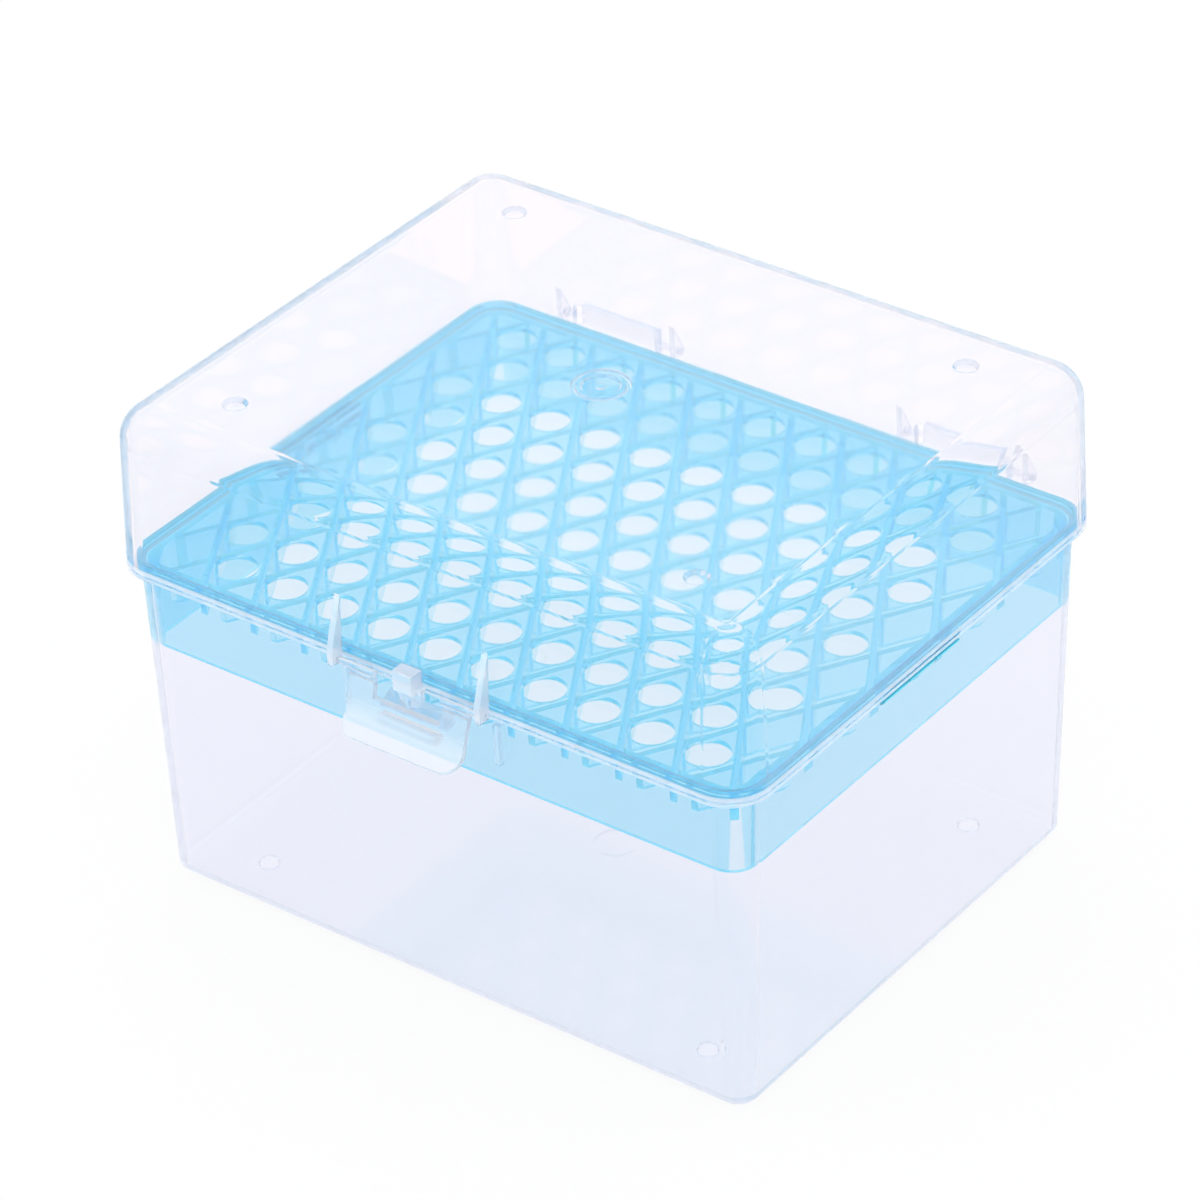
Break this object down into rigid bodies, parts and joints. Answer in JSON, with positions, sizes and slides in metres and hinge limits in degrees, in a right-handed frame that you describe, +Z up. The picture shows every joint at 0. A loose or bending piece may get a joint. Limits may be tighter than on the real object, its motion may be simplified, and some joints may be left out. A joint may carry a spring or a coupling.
{
  "type": "pipette tip box",
  "caption": "Clear hinged box for pipette tips: tapered tub, perforated blue tray with staggered holes, deep soft-edged lid and a front latch flap.",
  "frame": {"origin": "on the surface the box stands on, at the middle of its plan, hinge leaves and latch flap included", "axes": "+X along the front towards the right, +Y towards the back where the lid is hinged, +Z up"},
  "size_m": [0.1334, 0.1172, 0.0968],
  "materials": {
    "clear_body": "clear polypropylene, glossy, very faintly blue",
    "clear_lid": "clear polypropylene, glossy",
    "clear_latch": "clear polypropylene, glossy",
    "blue_tray": "translucent sky-blue polypropylene, satin gloss"
  },
  "bodies": {
    "box": {"base": "clear_body", "tray": "blue_tray"},
    "cover": {"lid": "clear_lid"},
    "flap": {"latch": "clear_latch"}
  },
  "joints": [
    {"name": "lid_hinge", "type": "hinge", "parent": "box", "child": "cover", "pos_m": [0, 0.0574, 0.06715], "axis": [-1, 0, 0], "range_deg": [0, 105]},
    {"name": "latch_hinge", "type": "hinge", "parent": "cover", "child": "flap", "pos_m": [0, -0.05355, 0.06635], "axis": [-1, 0, 0], "range_deg": [0, 110]}
  ]
}
